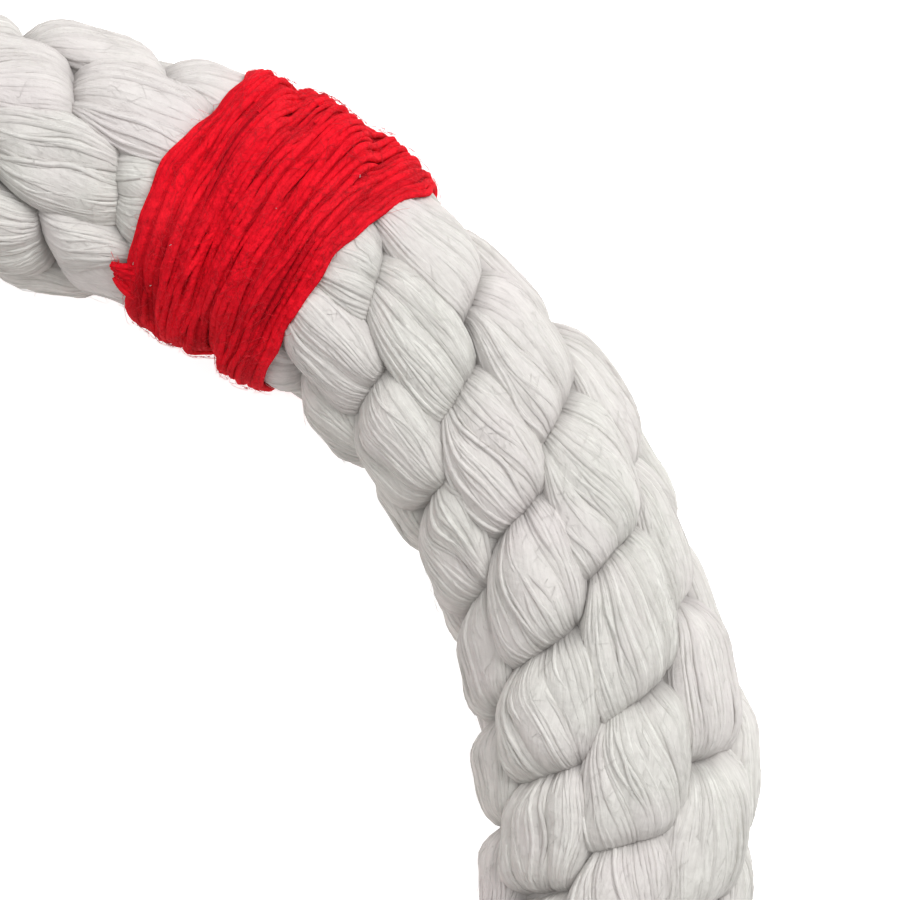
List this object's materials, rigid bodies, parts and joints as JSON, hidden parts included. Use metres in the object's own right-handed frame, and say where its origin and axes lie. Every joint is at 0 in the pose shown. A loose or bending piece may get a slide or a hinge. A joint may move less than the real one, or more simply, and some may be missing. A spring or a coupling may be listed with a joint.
{
  "type": "rope ring lifebuoy",
  "caption": "Small ring lifebuoy of thick braided off-white cotton rope with evenly spaced red yarn whippings; soft play or display piece.",
  "frame": {"origin": "centre of the ring, halfway through the rope's thickness", "axes": "+Z along the ring's axis, out of its front; the ring lies flat in the XY plane, with +Y to the top of the front view"},
  "size_m": [0.1494, 0.1494, 0.0284],
  "materials": {
    "cotton_rope": "matte soft-spun cotton yarn, off-white",
    "red_yarn": "matte soft-spun yarn, bright red"
  },
  "bodies": {
    "root": {"strand_a": "cotton_rope", "strand_b": "cotton_rope", "strand_c": "cotton_rope", "strand_d": "cotton_rope", "whipping_1": "red_yarn", "whipping_2": "red_yarn", "whipping_3": "red_yarn", "whipping_4": "red_yarn", "whipping_tail_1": "red_yarn", "whipping_tail_2": "red_yarn", "whipping_tail_3": "red_yarn", "whipping_tail_4": "red_yarn"}
  },
  "joints": []
}
